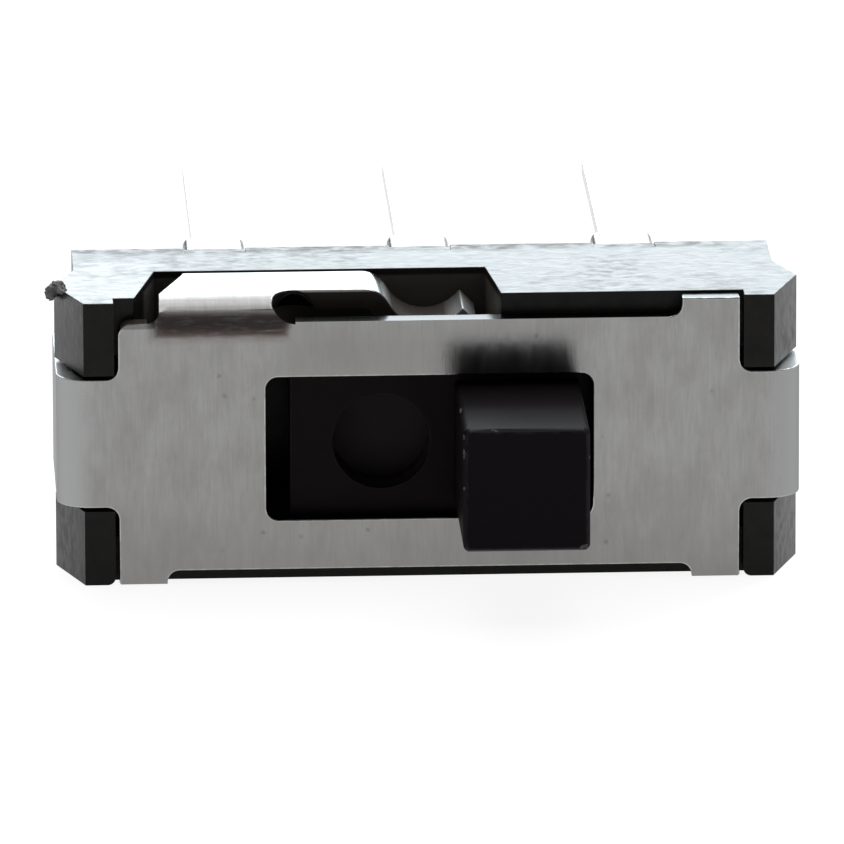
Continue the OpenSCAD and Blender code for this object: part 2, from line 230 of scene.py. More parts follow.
# %% Lamps
def lamp(name, place, width, height, brightness, colour=(1, 1, 1)):
    """A rectangular lamp at a place in millimetres, turned towards the switch."""
    place = Vector(place) * MM
    bpy.ops.object.light_add(type="AREA", location=place)
    made = bpy.context.object
    made.name = name
    made.rotation_euler = place.to_track_quat("Z", "Y").to_euler()
    made.data.shape = "RECTANGLE"
    made.data.size = width * MM
    made.data.size_y = height * MM
    made.data.energy = brightness * pi * width * MM * height * MM
    made.data.color = colour
    made.visible_camera = False
    print("%s: %.2f W" % (name, made.data.energy))


lamp("back_lamp", (60, 240, 105), width=300, height=200, brightness=7.0, colour=(0.87, 0.955, 1.0))
lamp("top_lamp", (0, 90, 220), width=260, height=290, brightness=2.6)
lamp("right_lamp", (250, 60, 60), width=150, height=130, brightness=1.4)

# %% [markdown]
# ## Dark card
#
# Polished steel shows whatever it faces. With white all round, the rolled fold of the cover would have
# no dark line and would look flat. A darker steel would be wrong everywhere else, so a black card
# stands in front of the switch, as is done for any polished metal. The camera looks through it, and it
# throws no shadow.

# %% Dark card
CARD_AHEAD, CARD_LOW = 20 * MM, 3.5 * MM
CARD_WIDTH, CARD_HEIGHT = 90 * MM, 38 * MM
CARD_BLACK = 0.02
bpy.ops.mesh.primitive_plane_add(size=1, location=(0, FRONT_Y - CARD_AHEAD,
                                                   FLOOR_Z + CARD_LOW + CARD_HEIGHT / 2))
card = bpy.context.object
card.name = "dark_card"
card.rotation_euler = (radians(90), 0, 0)
card.scale = (CARD_WIDTH, CARD_HEIGHT, 1)
bpy.ops.object.transform_apply(location=True, rotation=True, scale=True)
black_paper = bpy.data.materials.new("black_paper")
black_paper.use_nodes = True
black_paper.node_tree.nodes["Principled BSDF"].inputs["Base Color"].default_value = grey(CARD_BLACK)
card.data.materials.append(black_paper)
card.visible_camera = False
card.visible_shadow = False
print("card %.0f mm in front of the cover" % ((FRONT_Y - card.data.vertices[0].co.y) / MM))

# %% [markdown]
# ## From CAD solid to finished piece
#
# A solid arrives as loose triangles, which can't be bevelled or cut cleanly. Working on the solid
# itself would lose the original, so each piece is a copy of it, with its triangles welded into one
# skin and its flat faces made whole. `EASE` names the seven solids, with the width in millimetres that
# their corners get later. An operator works on everything that is selected, so `only` first selects
# one piece and nothing else.

# %% Welded copies
EASE = {"cover": 0.02, "housing": 0.012, "slider": 0.02, "moving_contact": 0.012,
        "terminal_left": 0.02, "terminal_common": 0.02, "terminal_right": 0.02}
WELD = 1e-8


def only(piece):
    """Select one object, make it active and leave everything else alone."""
    if bpy.context.object and bpy.context.object.mode != "OBJECT":
        bpy.ops.object.mode_set(mode="OBJECT")
    bpy.ops.object.select_all(action="DESELECT")
    piece.select_set(True)
    bpy.context.view_layer.objects.active = piece


def welded_copy(name):
    """A copy of a CAD node that is one closed skin with whole flat faces."""
    piece = bpy.data.objects.new(name + "_finished", frame["nodes"][name].data.copy())
    piece.data.materials.clear()
    bpy.context.scene.collection.objects.link(piece)
    only(piece)
    bpy.ops.mesh.customdata_custom_splitnormals_clear()
    bpy.ops.object.mode_set(mode="EDIT")
    bpy.ops.mesh.select_all(action="SELECT")
    bpy.ops.mesh.remove_doubles(threshold=WELD)
    bpy.ops.mesh.dissolve_limited(angle_limit=radians(1))
    bpy.ops.object.mode_set(mode="OBJECT")
    print("%s: %d faces" % (piece.name, len(piece.data.polygons)))
    return piece


finished = {name: welded_copy(name) for name in EASE}

# %% [markdown]
# ## Where the fold runs out
#
# The detent arm starts as a strip of the front plate that a roller bent backwards. Sheet doesn't stop
# bending at the side of such a strip: the curve runs out softly into the flat plate beside it. The CAD
# solid ends the curve at a small step instead. A sculpted surface would be soft but would lose the
# sheet's exact faces. So the curve stays a formula: `fold_depth` says how far it has run back at a
# height, and `fold_share` how much of that a place beside it gets, fading from all to nothing.

# %% The curve and its fade
FOLD_RADIUS = 0.45 * MM
FOLD_START = TOP_Z - FOLD_RADIUS
LEFT_STEP = -3.4 * MM
PLATE_TOP = TOP_Z - 0.26 * MM
FADE_MIDDLES = (-3.3 * MM, -1.71 * MM)
FADE = 0.15 * MM
TINY = 1e-7


def fold_depth(z):
    """How far the outside of the fold has run back at a height."""
    rise = max(0.0, min(FOLD_RADIUS, z - FOLD_START))
    return FOLD_RADIUS - (FOLD_RADIUS ** 2 - rise ** 2) ** 0.5


def fold_share(x, z):
    """The share of the curve at a place: none in the plate, all in the strip and above the plate."""
    inside = min(x - FADE_MIDDLES[0], FADE_MIDDLES[1] - x)
    share = max(0.0, min(1.0, inside / (2 * FADE) + 0.5))
    share = share * share * (3 - 2 * share)
    return max(share, min(1.0, (z - PLATE_TOP) / FADE))


def on_the_fold(x):
    """True over the strip and over both fades."""
    return FADE_MIDDLES[0] - FADE - TINY < x < FADE_MIDDLES[1] + FADE + TINY


print("the fold is %.3f mm deep at the plate's top" % (fold_depth(PLATE_TOP) / MM))

# %% [markdown]
# ## Columns and rows for the curve
#
# A face can only follow a curve if it is small, so planes cut the front of the sheet, beside and on
# the fold, into narrow columns and low rows. Subdividing would be one call, but it would also cut the
# flat plate and the back. The rows split each facet of the solid's curve in four, because a mirror
# shows every facet as a sharp line. `cut_front` cuts only what faces forward and lies less deep than
# the sheet is thick.

# %% Columns and rows
JUST_INSIDE = 0.24 * MM
FACING_FRONT = -0.45
COLUMNS = 10
FACETS, SPLITS = 7, 4


def cut_front(piece, place, direction, choose):
    """Cut the chosen faces of the sheet's front with a plane."""
    bpy.ops.mesh.select_all(action="DESELECT")
    skin = bmesh.from_edit_mesh(piece.data)
    for face in skin.faces:
        middle = face.calc_center_bounds()
        front = face.normal.y < FACING_FRONT and middle.y < FRONT_Y + JUST_INSIDE
        face.select_set(front and choose(middle, max(v.co.z for v in face.verts)))
    bmesh.update_edit_mesh(piece.data)
    bpy.ops.mesh.bisect(plane_co=place, plane_no=direction, threshold=TINY / 10)


def cut_columns_and_rows(piece, level):
    """Cut once where the curve starts, then cut columns into both fades and rows into the curve."""
    cut_front(piece, (0, 0, FOLD_START), (0, 0, 1), lambda middle, high: high > FOLD_START + TINY)
    for middle_x in FADE_MIDDLES:
        for column in range(COLUMNS + 1):
            x = middle_x + FADE * (2 * column / COLUMNS - 1)
            cut_front(piece, (x, 0, 0), (1, 0, 0), lambda middle, high: middle.z > FOLD_START + TINY)
    facet = asin((level - FOLD_START) / FOLD_RADIUS)
    for row in range(1, FACETS * SPLITS):
        if row % SPLITS:
            z = FOLD_START + FOLD_RADIUS * sin(facet * row / SPLITS)
            cut_front(piece, (0, 0, z), (0, 0, 1),
                      lambda middle, high: middle.z > FOLD_START + TINY and on_the_fold(middle.x))


print("%d columns in each fade, %d rows on the fold" % (COLUMNS, FACETS * SPLITS))

# %% [markdown]
# ## Soft shoulders beside the fold
#
# With the faces small enough, every corner of the front is set back by its share of the curve. They
# could be dragged with proportional editing, but a formula gives the same shoulder on both sides. The
# height of the first facet is read from the solid's own step, so that the rows fall between the
# facets' edges.

# %% Soft shoulders
STEP_DEPTH = 0.1 * MM
ON_THE_SKIN = 0.01 * MM
CURVE_END = TOP_Z - 0.06 * MM


def first_level(skin):
    """The height of the first facet's upper edge, at the left step of the fold."""
    front = [v.co for v in skin.verts if v.co.y < FRONT_Y + STEP_DEPTH]
    return min(round(co.z, 8) for co in front if abs(co.x - LEFT_STEP) < TINY and co.z > FOLD_START + TINY)


def soften_fold(piece):
    """Draw out the two steps beside the fold into soft shoulders."""
    only(piece)
    bpy.ops.object.mode_set(mode="EDIT")
    bpy.ops.mesh.select_mode(type="FACE")
    cut_columns_and_rows(piece, first_level(bmesh.from_edit_mesh(piece.data)))
    skin = bmesh.from_edit_mesh(piece.data)
    for vertex in skin.verts:
        x, y, z = vertex.co
        in_front = y < FRONT_Y + fold_depth(z) + ON_THE_SKIN
        if on_the_fold(x) and FOLD_START < z < CURVE_END and in_front:
            vertex.co.y = FRONT_Y + fold_depth(z) * fold_share(x, z)
    bpy.ops.mesh.select_all(action="SELECT")
    bpy.ops.mesh.remove_doubles(threshold=TINY)
    bpy.ops.object.mode_set(mode="OBJECT")
    print("%s: %d faces with both shoulders" % (piece.name, len(piece.data.polygons)))


soften_fold(finished["cover"])

# %% [markdown]
# ## Rounded ends of the posts
#
# Four posts of the housing end next to the tabs of the cover, at the recesses in both ends. The mould
# is worn there, and those edges are rounder than any other. They could be filleted in the CAD model,
# but the wear is a mark of this one switch and not a size, so a wide bevel is put on them here.

# %% Rounded post ends
POST_INSIDE, EAR_BACK = 3.8 * MM, -1.0 * MM
RECESS_LEVELS = (-0.835 * MM, 0.855 * MM)
END_ROUNDING = 0.07 * MM
SLACK = 0.01 * MM
SHARP = radians(50)


def at_post_end(edge):
    """True for an outward edge of a post that lies along the bottom or the top of an end recess."""
    level = all(min(abs(v.co.z - z) for z in RECESS_LEVELS) < SLACK for v in edge.verts)
    on_ear = all(abs(v.co.x) > POST_INSIDE - TINY and v.co.y < EAR_BACK for v in edge.verts)
    return level and on_ear and edge.is_manifold and edge.calc_face_angle_signed(0) > SHARP


def round_post_ends(piece):
    """Round the edges at which the four posts end, next to the tabs of the cover."""
    only(piece)
    bpy.ops.object.mode_set(mode="EDIT")
    bpy.ops.mesh.select_mode(type="EDGE")
    bpy.ops.mesh.select_all(action="DESELECT")
    skin = bmesh.from_edit_mesh(piece.data)
    for edge in skin.edges:
        edge.select_set(at_post_end(edge))
    bmesh.update_edit_mesh(piece.data)
    chosen = sum(edge.select for edge in skin.edges)
    bpy.ops.mesh.bevel(offset=END_ROUNDING, segments=4, affect="EDGES", clamp_overlap=True)
    bpy.ops.object.mode_set(mode="OBJECT")
    print("%s: %d edges at the ends of the posts rounded" % (piece.name, chosen))


round_post_ends(finished["housing"])

# %% [markdown]
# ## Eased corners
#
# A CAD solid has perfectly sharp corners, and nothing real does: a stamped edge is dressed, a moulding
# has the small radius of its mould. A sharp corner catches no light, so it is the first thing that
# looks false. A shader can fake the radius, but not at the outline, so the outward corners get a real
# bevel of a few hundredths of a millimetre. A bevel folds over itself where it meets very short edges.
# These functions find such folds, and which corners lie near them.

# %% Finding folds
FOLDED = radians(110)
SHORTEST = 0.0005 * MM


def folded_edges(skin):
    """The ends of every edge at which the skin turns back on itself."""
    return [[v.co.copy() for v in edge.verts] for edge in skin.edges
            if edge.is_manifold and edge.calc_face_angle(0) > FOLDED and edge.calc_length() > SHORTEST]


def near(point, ends, reach):
    """True where a point lies within reach of the straight line between two ends."""
    along = ends[1] - ends[0]
    share = max(0.0, min(1.0, (point - ends[0]).dot(along) / max(along.length_squared, 1e-18)))
    return (ends[0] + along * share - point).length < reach


print("an edge counts as folded above %.0f degrees" % (FOLDED * 180 / pi))

# %% [markdown]
# ## One bevel, and a mark for the materials
#
# Wear shows at corners, so the finishes need to know where the bevels are. They could look for
# curvature, but that also finds every joint between pieces. The bevel operator leaves its new faces
# selected, and these are marked 1 in an attribute called `edge`. A large flat face with bevels all
# round it counts as selected too, so only narrow faces get the mark.

# %% One bevel
NARROW = 1.5


def mark_bevels(skin, width):
    """Mark the selected faces that are no wider than a bevel's."""
    mark = skin.faces.layers.float.new("edge")
    for face in skin.faces:
        longest = max(edge.calc_length() for edge in face.edges)
        narrow = face.calc_area() < NARROW * width * longest
        face[mark] = 1.0 if face.select and narrow else 0.0


def bevel_corners(piece, width, skipped):
    """Bevel the outward corners that aren't skipped; give their ends and the folds that this made."""
    only(piece)
    bpy.ops.object.mode_set(mode="EDIT")
    bpy.ops.mesh.select_mode(type="EDGE")
    bpy.ops.mesh.select_all(action="DESELECT")
    skin = bmesh.from_edit_mesh(piece.data)
    corners = {}
    for edge in skin.edges:
        outward = edge.is_manifold and SHARP < edge.calc_face_angle_signed(0) < FOLDED
        if outward and edge.index not in skipped:
            corners[edge.index] = [v.co.copy() for v in edge.verts]
            edge.select_set(True)
    before = folded_edges(skin)
    bmesh.update_edit_mesh(piece.data)
    bpy.ops.mesh.bevel(offset=width, segments=2, affect="EDGES", clamp_overlap=False, miter_outer="ARC")
    skin = bmesh.from_edit_mesh(piece.data)
    mark_bevels(skin, width)
    folds = [ends for ends in folded_edges(skin)
             if not any(near(ends[0], old, width) and near(ends[1], old, width) for old in before)]
    bpy.ops.object.mode_set(mode="OBJECT")
    return corners, folds


print("bevels of %.3f to %.3f mm" % (min(EASE.values()), max(EASE.values())))

# %% [markdown]
# ## Bevels that check themselves
#
# Corners that can't take a bevel could be picked out by hand, but they would be others after each
# change of the model. So each piece is bevelled and measured, and where the skin folds, the corners
# nearby are left sharp and the whole bevel is done again on the plain copy.

# %% Ease every piece
TRIES = 6
FOLD_REACH = 1.6


def ease_corners(piece, width):
    """Bevel the outward corners, and leave sharp those whose bevel would fold."""
    plain = piece.data.copy()
    skipped = set()
    for _ in range(TRIES):
        piece.data = plain.copy()
        corners, folds = bevel_corners(piece, width, skipped)
        if not folds:
            break
        for index, ends in corners.items():
            if any(near(point, ends, width * FOLD_REACH) for fold in folds for point in fold):
                skipped.add(index)
    print("%s: %d corners eased, %d left sharp, %d folds, %d faces"
          % (piece.name, len(corners), len(skipped), len(folds), len(piece.data.polygons)))


for name, width in EASE.items():
    ease_corners(finished[name], width * MM)

# %% [markdown]
# ## Cut edges of the sheet
#
# The press shears the sheet, and a sheared edge is rough and dark beside the rolled face. The steel
# finish could guess those edges from a direction, but the rounded bends at the ends and the fold face
# the same ways. So the cut faces are marked once, by direction and place, in an attribute called
# `cut`.

# %% Cut edges
SHEET = 0.25 * MM
BELOW_TOP = 0.02 * MM
END_BEND = 4.1 * MM
SIDEWAYS = 0.5


def mark_faces(piece, name, choose):
    """Give the faces of a piece an attribute that is 1 where they are chosen and 0 elsewhere."""
    values = [float(choose(face)) for face in piece.data.polygons]
    mark = piece.data.attributes.new(name, "FLOAT", "FACE")
    mark.data.foreach_set("value", values)
    print("%s: %d faces marked %s" % (piece.name, sum(values), name))


def is_cut(face):
    """True on the sheared edges of the front plate, but not on the fold or on the bends at the ends."""
    place, direction = face.center, face.normal
    in_plate = place.y < FRONT_Y + SHEET and place.z < TOP_Z - BELOW_TOP
    in_fold = on_the_fold(place.x) and place.z > FOLD_START
    in_bend = abs(place.x) > END_BEND and abs(direction.x) > SIDEWAYS
    return abs(direction.y) < SIDEWAYS and in_plate and not in_fold and not in_bend


mark_faces(finished["cover"], "cut", is_cut)

# %% [markdown]
# ## Rough stones
#
# Two marks of this one switch have a broken surface: a flake of torn plastic, and chips in the knob.
# Both start as a rough stone. It could be sculpted, but then its shape would be a long list of points.
# A few squashed balls, melted into one skin by a voxel remesh and roughened by noise, say the same in
# a few numbers. The remesh needs room to work, so a stone is made in millimetres.

# %% Rough stone
VOXEL = 0.007
NOISE_WIDTH = 6 * VOXEL


def rough_stone(name, balls, roughness, seed):
    """Balls, each a centre and three radii in millimetres, melted into one rough skin."""
    made = []
    for centre, radii in balls:
        bpy.ops.mesh.primitive_ico_sphere_add(subdivisions=3, radius=1, location=centre)
        bpy.context.object.scale = radii
        made.append(bpy.context.object)
    bpy.ops.object.select_all(action="DESELECT")
    for ball in made:
        ball.select_set(True)
    stone = made[0]
    bpy.context.view_layer.objects.active = stone
    bpy.ops.object.join()
    bpy.ops.object.transform_apply(location=True, rotation=True, scale=True)
    stone.name = name
    bpy.ops.object.modifier_add(type="REMESH")
    stone.modifiers[-1].mode = "VOXEL"
    stone.modifiers[-1].voxel_size = VOXEL
    bpy.ops.object.modifier_apply(modifier=stone.modifiers[-1].name)
    for vertex in stone.data.vertices:
        place = vertex.co / NOISE_WIDTH + Vector((seed, 0, 0))
        vertex.co += vertex.normal * roughness * noise.noise(place)
    print("%s: %d balls melted into %d faces" % (name, len(balls), len(stone.data.polygons)))
    return stone


print("stones have faces of about %.3f mm" % VOXEL)

# %% [markdown]
# ## Chips in the knob
#
# The knob is the part that gets touched, and its edges are chipped. A bump in the material would leave
# the outline straight, so the chips are cut out of the mesh with rough stones, by a boolean. It works
# in millimetres as well, and the stones' `torn` attribute comes along to the walls of the chips, for
# the slider's finish to find.

# %% Chips
CHIPS = [((0.30, -4.72, 0.58), (0.035, 0.06, 0.03)),
         ((0.30, -4.70, 0.37), (0.045, 0.06, 0.07)),
         ((0.30, -4.73, -0.06), (0.03, 0.05, 0.04)),
         ((0.70, -4.74, 0.685), (0.09, 0.05, 0.035)),
         ((1.78, -4.76, -0.80), (0.09, 0.04, 0.05)),
         ((1.84, -4.72, 0.30), (0.02, 0.05, 0.05)),
         ((1.84, -4.0, 0.66), (0.03, 0.07, 0.03)),
         ((0.32, -3.7, 0.66), (0.035, 0.09, 0.03)),
         ((1.2, -4.76, -0.85), (0.08, 0.04, 0.03))]


def chip_knob(piece):
    """Cut small chips out of the edges of the knob."""
    stones = rough_stone("stones", CHIPS, roughness=0.02, seed=8)
    mark_faces(stones, "torn", lambda face: True)
    piece.data.transform(Matrix.Scale(1 / MM, 4))
    only(piece)
    bpy.ops.object.modifier_add(type="BOOLEAN")
    modifier = piece.modifiers[-1]
    modifier.operation = "DIFFERENCE"
    modifier.solver = "EXACT"
    modifier.use_self = True
    modifier.use_hole_tolerant = True
    modifier.object = stones
    bpy.ops.object.modifier_apply(modifier=modifier.name)
    piece.data.transform(Matrix.Scale(MM, 4))
    bpy.data.objects.remove(stones)
    print("%s: %d chips, %d faces" % (piece.name, len(CHIPS), len(piece.data.polygons)))


chip_knob(finished["slider"])

# %% [markdown]
# ## Torn flake
#
# At the top left the halves of the mould didn't close fully, and a torn flake of plastic was left on
# the corner of the ear. It is one more stone. A boolean could join it to the housing, but that would
# put hundreds of small faces into a clean flat one, so it stays a piece of its own that rides on the
# housing.

# %% Torn flake
FLAKE = [((-4.54, -1.78, 1.685), (0.07, 0.10, 0.09)),
         ((-4.46, -1.76, 1.76), (0.09, 0.10, 0.06)),
         ((-4.51, -1.80, 1.73), (0.09, 0.08, 0.06)),
         ((-4.41, -1.92, 1.755), (0.06, 0.13, 0.03))]
flake = rough_stone("corner_flake", FLAKE, roughness=0.032, seed=3)
mark_faces(flake, "torn", lambda face: True)
flake.data.transform(Matrix.Scale(MM, 4))
only(flake)
bpy.ops.object.shade_smooth()

# %% [markdown]
# ## Shading
#
# A bevel two faces wide should look round, and the flat beside it flat. Plain smooth shading bends the
# light on the flats as well, and flat shading shows the bevel's two faces. Weighted normals lean
# towards the larger face at each corner, which keeps the flats flat. The modifier passes over faces as
# small as these are in metres, so it works on them in millimetres.

# %% Shading
SMOOTH_UNDER = radians(40)
FACE_WEIGHT = 60


def shade(piece):
    """Shade curves smooth while flat faces stay flat, and bake that into the mesh's normals."""
    only(piece)
    bpy.ops.object.shade_smooth_by_angle(angle=SMOOTH_UNDER)
    piece.data.transform(Matrix.Scale(1 / MM, 4))
    bpy.ops.object.modifier_add(type="WEIGHTED_NORMAL")
    modifier = piece.modifiers[-1]
    modifier.weight = FACE_WEIGHT
    modifier.keep_sharp = True
    bpy.ops.object.modifier_apply(modifier=modifier.name)
    piece.data.transform(Matrix.Scale(MM, 4))


for piece in finished.values():
    shade(piece)
print("shaded:", ", ".join(piece.name for piece in finished.values()))

# %% [markdown]
# ## Shared effects
#
# Steel, plastic, tin and bronze all have a grain, and three of them wear at their edges. Each such
# effect is one node group, so it is worked out once and set differently in each material. `new_group`
# makes an empty group with its sockets, and `use` places one in a tree.

# %% Node groups
def new_group(name, inputs, output):
    """An empty node group, each input a (name, kind, value), with one output value."""
    made = bpy.data.node_groups.new(name, "ShaderNodeTree")
    for label, kind, value in inputs:
        socket = made.interface.new_socket(label, in_out="INPUT", socket_type="NodeSocket" + kind)
        socket.default_value = value
    made.interface.new_socket(output, in_out="OUTPUT", socket_type="NodeSocketFloat")
    print("group:", made.name)
    return made, made.nodes.new("NodeGroupInput").outputs, made.nodes.new("NodeGroupOutput").inputs


def use(tree, group, **inputs):
    """Place a node group in a tree, with its inputs set or linked by name, and give its output."""
    return node(tree, "Group", inputs, node_tree=group).outputs[0]


def remap(tree, value, low, high, to_low=0.0, to_high=1.0):
    """Stretch a value from one range to another, and hold it there."""
    return node(tree, "MapRange", {"Value": value, "From Min": low, "From Max": high,
                                   "To Min": to_low, "To Max": to_high}).outputs[0]


print("groups so far:", len(bpy.data.node_groups))

# %% [markdown]
# ## Grain
#
# Rolled steel has long thin lines, plastic has round clouds where it flowed. An image could show them,
# but it would repeat and stretch. Here both are noise, stretched more or less along each axis. The
# size of a grain is given in millimetres for each axis, on object coordinates, so that a finish keeps
# its scale on every piece and moves with it.

# %% Grain
grain, entry, leave = new_group("grain", [("Place", "Vector", (0, 0, 0)),
                                          ("Size", "Vector", (0.1, 0.1, 0.1)),
                                          ("Detail", "Float", 3.0)], "Value")
per_size = node(grain, "VectorMath", {0: entry["Place"], 1: entry["Size"]}, operation="DIVIDE")
per_mm = node(grain, "VectorMath", {0: per_size.outputs[0], "Scale": 1 / MM}, operation="SCALE")
texture = node(grain, "TexNoise", {"Vector": per_mm.outputs[0], "Scale": 1.0, "Detail": entry["Detail"],
                                   "Roughness": 0.55})
grain.links.new(texture.outputs["Fac"], leave["Value"])
print("grain has", len(grain.nodes), "nodes")

# %% [markdown]
# ## Specks
#
# Plated sheet has a few small pits. Noise alone gives pits of every size, in clusters. Cells give one
# speck each: the distance to the middle of a cell makes the spot, the cell's own random colour decides
# whether it has one, and a slight wobble keeps the spots from being perfect circles.

# %% Specks
WOBBLE_SCALE, WOBBLE_MM = 9.0, 0.06
specks, entry, leave = new_group("specks", [("Place", "Vector", (0, 0, 0)), ("Spacing", "Float", 0.4),
                                            ("Size", "Float", 0.05), ("Share", "Float", 0.3)], "Mask")
per_mm = node(specks, "VectorMath", {0: entry["Place"], "Scale": 1 / MM}, operation="SCALE")
wobble = node(specks, "TexNoise", {"Vector": per_mm.outputs[0], "Scale": WOBBLE_SCALE, "Detail": 2.0})
offset = node(specks, "VectorMath", {0: wobble.outputs["Color"], "Scale": WOBBLE_MM}, operation="SCALE")
moved = node(specks, "VectorMath", {0: per_mm.outputs[0], 1: offset.outputs[0]}, operation="ADD")
density = calculate(specks, "DIVIDE", 1.0, entry["Spacing"])
cells = node(specks, "TexVoronoi", {"Vector": moved.outputs[0], "Scale": density})
reach = calculate(specks, "DIVIDE", entry["Size"], entry["Spacing"])
inside = remap(specks, cells.outputs["Distance"], reach, 0.0)
lot = node(specks, "SeparateColor", {0: cells.outputs["Color"]}).outputs[0]
chosen = calculate(specks, "LESS_THAN", lot, entry["Share"])
specks.links.new(multiply(specks, inside, chosen), leave["Mask"])
print("specks has", len(specks.nodes), "nodes")

# %% [markdown]
# ## Worn edges and painted highlights
#
# Handling rubs the corners, but never evenly. A shader can look for corners by itself, but slowly, and
# it finds inner corners too. Here the `edge` attribute says where the bevels are, and a patchy grain
# takes parts of them away again: the more wear, the fewer gaps. The plastics use this mask for wear;
# the steel uses it for a painted highlight along its bevels.

# %% Worn edges
wear_and_highlight, entry, leave = new_group("edge_wear_and_highlight", [("Place", "Vector", (0, 0, 0)),
                                              ("Wear", "Float", 0.5)], "Mask")


def attribute(tree, name):
    """The value of a mark that was put on the faces of a piece."""
    return node(tree, "Attribute", attribute_name=name).outputs["Fac"]


patchy = use(wear_and_highlight, grain, Place=entry["Place"], Size=(0.12, 0.12, 0.12), Detail=3.0)
gaps = calculate(wear_and_highlight, "SUBTRACT", 1.0, entry["Wear"])
patches = remap(wear_and_highlight, patchy, multiply(wear_and_highlight, gaps, 0.8), 0.75)
wear_and_highlight.links.new(multiply(wear_and_highlight, attribute(wear_and_highlight, "edge"), patches), leave["Mask"])
print("edge_wear_and_highlight has", len(wear_and_highlight.nodes), "nodes")

# %% [markdown]
# ## Painting in layers
#
# One long formula for a colour is hard to read and to change. So a finish is built as a painter would:
# a first colour, then thinner coats, each only where its mask lets it through. `paint` does that for
# colours and `vary` for roughness. `bump` adds fine heights that are too small to model.

# %% Material helpers
def new_material(name, metallic=0.0, specular=0.5):
    """A material with its Principled BSDF, and object coordinates to drive it."""
    made = bpy.data.materials.new(name)
    made.use_nodes = True
    tree = made.node_tree
    shader = tree.nodes["Principled BSDF"].inputs
    shader["Metallic"].default_value = metallic
    shader["Specular IOR Level"].default_value = specular
    print("material:", made.name)
    return made, tree, shader, node(tree, "TexCoord").outputs["Object"]


def blend(tree, mask, a, b):
    """Mix two colours by a mask."""
    return node(tree, "Mix", {0: mask, 6: a, 7: b}, data_type="RGBA").outputs[2]


def paint(tree, colour, *coats):
    """Lay coats over a colour, each a (mask, strength, colour)."""
    for mask, strength, coat in coats:
        colour = blend(tree, multiply(tree, mask, strength), colour, coat)
    return colour


def vary(tree, value, *places):
    """Change a value to another one in each place, given as (mask, other value)."""
    for mask, other in places:
        value = mix(tree, mask, value, other)
    return value


def bump(tree, shader, *heights):
    """Add up heights, each a (value, depth in mm), into the shader's normal."""
    total = 0.0
    for value, depth in heights:
        total = calculate(tree, "ADD", total, multiply(tree, value, depth))
    made = node(tree, "Bump", {"Height": total, "Distance": MM, "Strength": 1.0})
    tree.links.new(made.outputs[0], shader["Normal"])


print("groups to paint with:", ", ".join(group.name for group in bpy.data.node_groups))

# %% [markdown]
# ## Masks for places
#
# A stain or a rubbed spot sits in one place. It could be painted on an image, but then the piece would
# need a map and a file. A box in millimetres, 1 inside and fading out over a soft margin, is enough
# for marks of this size, and a grain multiplied with it breaks up its outline.

# %% Box masks
def box_mask(tree, place, low, high, soft):
    """1 inside a box given in millimetres, fading out over a soft margin."""
    middle = [(a + b) / 2 * MM for a, b in zip(low, high)]
    half = [(b - a) / 2 * MM for a, b in zip(low, high)]
    away = node(tree, "VectorMath", {0: place, 1: middle}, operation="SUBTRACT")
    away = node(tree, "VectorMath", {0: away.outputs[0]}, operation="ABSOLUTE")
    away = node(tree, "VectorMath", {0: away.outputs[0], 1: half}, operation="SUBTRACT")
    x, y, z = node(tree, "SeparateXYZ", {0: away.outputs[0]}).outputs
    farthest = calculate(tree, "MAXIMUM", calculate(tree, "MAXIMUM", x, y), z)
    return remap(tree, farthest, soft * MM, 0)


def box_masks(tree, place, boxes):
    """One mask for each named box."""
    return {name: box_mask(tree, place, *box) for name, box in boxes.items()}


print("one millimetre in a box is %.3f m on the object" % MM)

# %% [markdown]
# ## Steel: where the cover differs
#
# The cover is plated steel strip, bright on the flat. It is matt where the roller bent the fold and
# the spring of the detent arm, brown where oil from the roller baked on, and darker above the window.
# Two narrow ledges, the edge of the slot and the valley of the spring are painted nearly black, a
# painted shade for the dark hollows they mirror. Each entry is a low corner, a high corner and a soft
# margin, in millimetres.

# %% Places on the cover
COVER_PLACES = {
    "rolled": ((-3.35, -3.0, 1.34), (-1.75, -2.1, 1.8), 0.12),
    "sprung": ((-0.7, -2.3, 0.7), (0.8, -1.1, 1.6), 0.1),
    "valley": ((-0.9, -2.3, 0.6), (0.22, -1.0, 1.5), 0.14),
    "stained": ((-3.27, -2.8, 1.36), (-1.74, -2.50, 1.56), 0.06),
    "stain rim": ((-3.15, -2.8, 1.30), (-1.8, -2.55, 1.4), 0.08),
    "slot edge": ((-2.1, -2.2, 0.8), (0.2, -2.08, 1.72), 0.03),
    "ledge": ((-3.7, -2.63, 1.46), (-3.32, -2.3, 1.6), 0.03),
    "above window": ((-1.6, -2.8, 0.95), (1.6, -2.6, 1.2), 0.4),
}
TAB_STARTS, TAB_FULL = 4.05 * MM, 4.3 * MM


def cover_masks(tree, place):
    """The boxes above, with the end tabs, the cut edges and the painted shade, which doesn't shine like
    metal.
    """
    masks = box_masks(tree, place, COVER_PLACES)
    along = node(tree, "SeparateXYZ", {0: place}).outputs[0]
    masks["ends"] = remap(tree, calculate(tree, "ABSOLUTE", along), TAB_STARTS, TAB_FULL)
    masks["cut"] = attribute(tree, "cut")
    # painted shade: the ledges, the slot edge and the valley of the spring become nearly black
    shaded_places = calculate(tree, "MAXIMUM", masks["slot edge"], masks["ledge"])
    shaded_places, valley = multiply(tree, shaded_places, 0.95), multiply(tree, masks["valley"], 0.85)
    masks["dull"] = calculate(tree, "MAXIMUM", shaded_places, valley)
    return masks


print("%d places on the cover" % len(COVER_PLACES))

